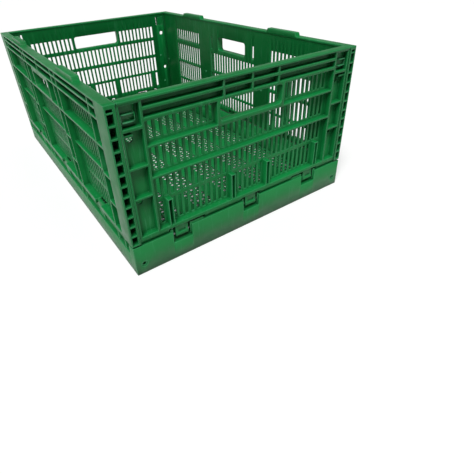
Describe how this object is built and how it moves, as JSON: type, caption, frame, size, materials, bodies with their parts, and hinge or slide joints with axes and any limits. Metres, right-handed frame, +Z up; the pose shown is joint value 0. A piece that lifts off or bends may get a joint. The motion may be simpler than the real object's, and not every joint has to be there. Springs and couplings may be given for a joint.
{
  "type": "collapsible storage crate",
  "caption": "Green slotted plastic crate with a ribbed base tray, hinged fold-in end walls, long side walls, hand holes, sliding latches and raised stacking tabs.",
  "frame": {"origin": "centre of the underside, on the plane the crate stands on", "axes": "+X to the right along the short front side, +Y along the long sides from front to back, +Z up"},
  "size_m": [0.4, 0.6, 0.246],
  "materials": {
    "base_plastic": "satin moulded polypropylene, slightly lighter than the walls",
    "wall_plastic": "satin moulded polypropylene",
    "latch_plastic": "satin moulded polypropylene",
    "pin_steel": "drawn steel rod"
  },
  "bodies": {
    "tray": {"base_tray": "base_plastic", "left_wall": "wall_plastic", "right_wall": "wall_plastic", "front_pin_left": "pin_steel", "front_pin_middle": "pin_steel", "front_pin_right": "pin_steel", "back_pin_left": "pin_steel", "back_pin_middle": "pin_steel", "back_pin_right": "pin_steel", "left_pin_front": "pin_steel", "left_pin_middle": "pin_steel", "left_pin_back": "pin_steel", "right_pin_front": "pin_steel", "right_pin_middle": "pin_steel", "right_pin_back": "pin_steel"},
    "front_wall": {"front_wall": "wall_plastic"},
    "back_wall": {"back_wall": "wall_plastic"},
    "front_latch_left": {"front_latch_left": "latch_plastic"},
    "front_latch_right": {"front_latch_right": "latch_plastic"},
    "back_latch_left": {"back_latch_left": "latch_plastic"},
    "back_latch_right": {"back_latch_right": "latch_plastic"}
  },
  "joints": [
    {"name": "front_wall_fold", "type": "hinge", "parent": "tray", "child": "front_wall", "pos_m": [0, -0.2925, 0.038], "axis": [-1, 0, 0], "range_deg": [0, 90]},
    {"name": "back_wall_fold", "type": "hinge", "parent": "tray", "child": "back_wall", "pos_m": [0, 0.2925, 0.038], "axis": [1, 0, 0], "range_deg": [0, 90]},
    {"name": "front_latch_left_slide", "type": "slide", "parent": "front_wall", "child": "front_latch_left", "axis": [1, 0, 0], "range_m": [0, 0.004], "stiffness_N_per_m": 400},
    {"name": "front_latch_right_slide", "type": "slide", "parent": "front_wall", "child": "front_latch_right", "axis": [-1, 0, 0], "range_m": [0, 0.004], "stiffness_N_per_m": 400},
    {"name": "back_latch_left_slide", "type": "slide", "parent": "back_wall", "child": "back_latch_left", "axis": [1, 0, 0], "range_m": [0, 0.004], "stiffness_N_per_m": 400},
    {"name": "back_latch_right_slide", "type": "slide", "parent": "back_wall", "child": "back_latch_right", "axis": [-1, 0, 0], "range_m": [0, 0.004], "stiffness_N_per_m": 400}
  ]
}
